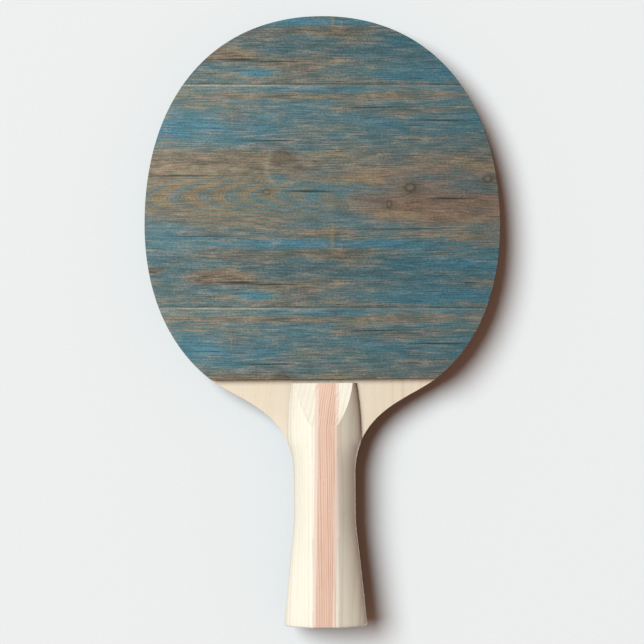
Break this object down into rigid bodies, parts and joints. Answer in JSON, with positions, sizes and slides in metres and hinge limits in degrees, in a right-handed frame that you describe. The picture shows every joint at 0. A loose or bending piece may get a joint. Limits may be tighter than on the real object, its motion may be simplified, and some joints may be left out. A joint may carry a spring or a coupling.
{
  "type": "table tennis paddle",
  "caption": "Flared-handle table tennis paddle: plywood blade, sponge and rubber on both faces of the head, printed front rubber, striped wooden handle scales.",
  "frame": {"origin": "under the middle of the whole paddle's bounding box, level with its lowest face, the flat of the back handle scale", "axes": "+X across the head, +Y along the paddle from handle to head tip, +Z out of the printed front face"},
  "size_m": [0.152, 0.26, 0.024],
  "materials": {
    "face_wood": "pale sanded plywood face, satin",
    "cross_wood": "darker cross-grain ply, bare edge",
    "core_wood": "light core ply, bare edge",
    "light_wood": "near-white handle wood, smooth satin",
    "veneer_wood": "pale pink veneer, smooth satin",
    "red_wood": "pink-red striped wood, smooth satin",
    "sponge": "cream foam rubber, matt",
    "front_rubber": "black rubber with a print of weathered blue painted boards, soft sheen",
    "back_rubber": "red smooth rubber, soft sheen"
  },
  "bodies": {
    "root": {"core_ply": "core_wood", "front_cross_ply": "cross_wood", "back_cross_ply": "cross_wood", "front_face_ply": "face_wood", "back_face_ply": "face_wood", "front_sponge": "sponge", "back_sponge": "sponge", "front_topsheet": "front_rubber", "back_topsheet": "back_rubber", "front_scale_left_strip": "light_wood", "front_scale_left_veneer": "veneer_wood", "front_scale_center_strip": "red_wood", "front_scale_right_veneer": "veneer_wood", "front_scale_right_strip": "light_wood", "back_scale_left_strip": "light_wood", "back_scale_left_veneer": "veneer_wood", "back_scale_center_strip": "red_wood", "back_scale_right_veneer": "veneer_wood", "back_scale_right_strip": "light_wood"}
  },
  "joints": []
}
